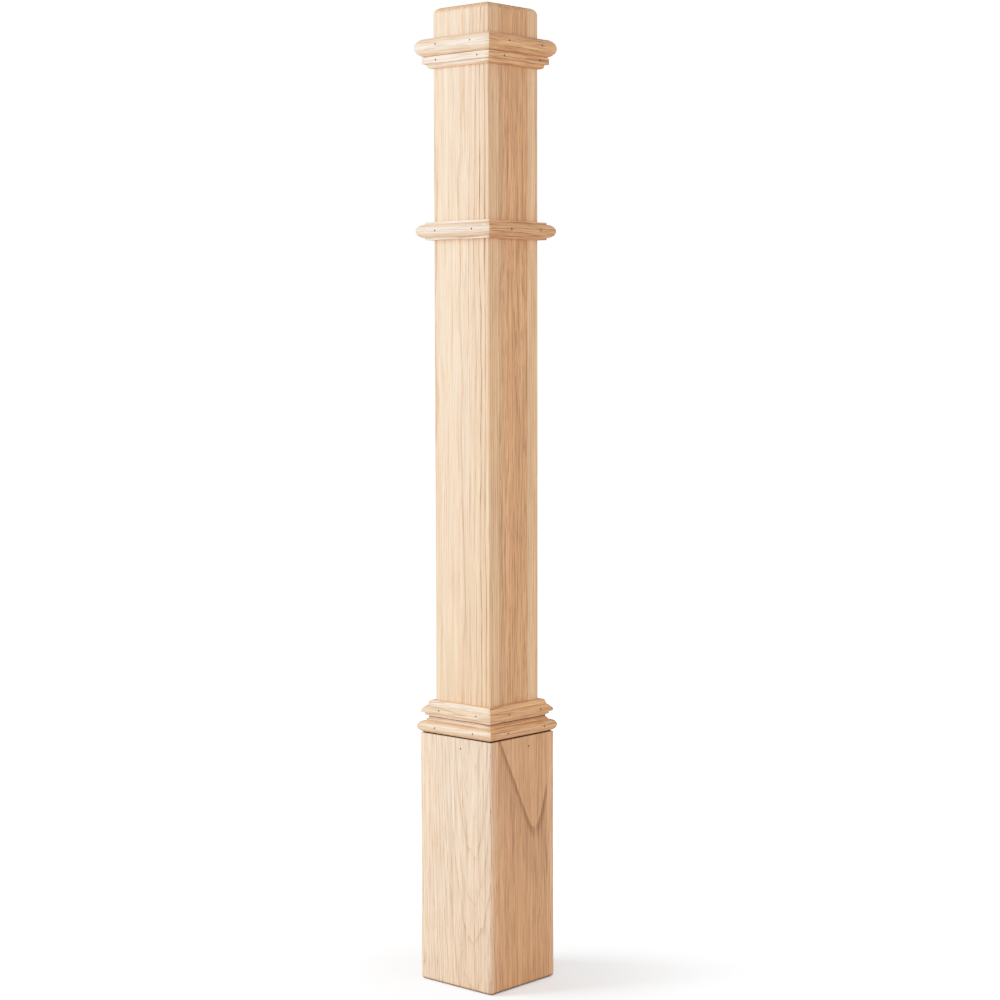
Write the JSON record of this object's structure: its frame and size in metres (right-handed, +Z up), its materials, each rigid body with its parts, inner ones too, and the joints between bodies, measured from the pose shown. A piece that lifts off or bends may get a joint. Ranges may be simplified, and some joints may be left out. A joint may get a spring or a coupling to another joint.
{
  "type": "newel post",
  "caption": "Square box newel post of plain oak with a boxed base, a hollow shaft with a rounded top and mitred moulding bands; carries the end of a stair handrail.",
  "frame": {"origin": "on the floor at the middle of the post's square foot", "axes": "+Z up along the post; -Y is the front face, +X the right face"},
  "size_m": [0.1402, 0.1402, 1.3553],
  "materials": {
    "oak_board": "bare planed red oak, open pored, no finish",
    "oak_strip": "bare moulded red oak, grain along the strip",
    "oak_block": "bare red oak end grain",
    "brad": "dark set brad heads"
  },
  "bodies": {
    "root": {"shaft_board_front": "oak_board", "shaft_board_back": "oak_board", "shaft_board_left": "oak_board", "shaft_board_right": "oak_board", "base_board_front": "oak_board", "base_board_back": "oak_board", "base_board_left": "oak_board", "base_board_right": "oak_board", "top_block": "oak_block", "lower_torus_front": "oak_strip", "lower_torus_back": "oak_strip", "lower_torus_left": "oak_strip", "lower_torus_right": "oak_strip", "lower_cap_front": "oak_strip", "lower_cap_back": "oak_strip", "lower_cap_left": "oak_strip", "lower_cap_right": "oak_strip", "mid_band_front": "oak_strip", "mid_band_back": "oak_strip", "mid_band_left": "oak_strip", "mid_band_right": "oak_strip", "top_cove_front": "oak_strip", "top_cove_back": "oak_strip", "top_cove_left": "oak_strip", "top_cove_right": "oak_strip", "top_bullnose_front": "oak_strip", "top_bullnose_back": "oak_strip", "top_bullnose_left": "oak_strip", "top_bullnose_right": "oak_strip"}
  },
  "joints": []
}
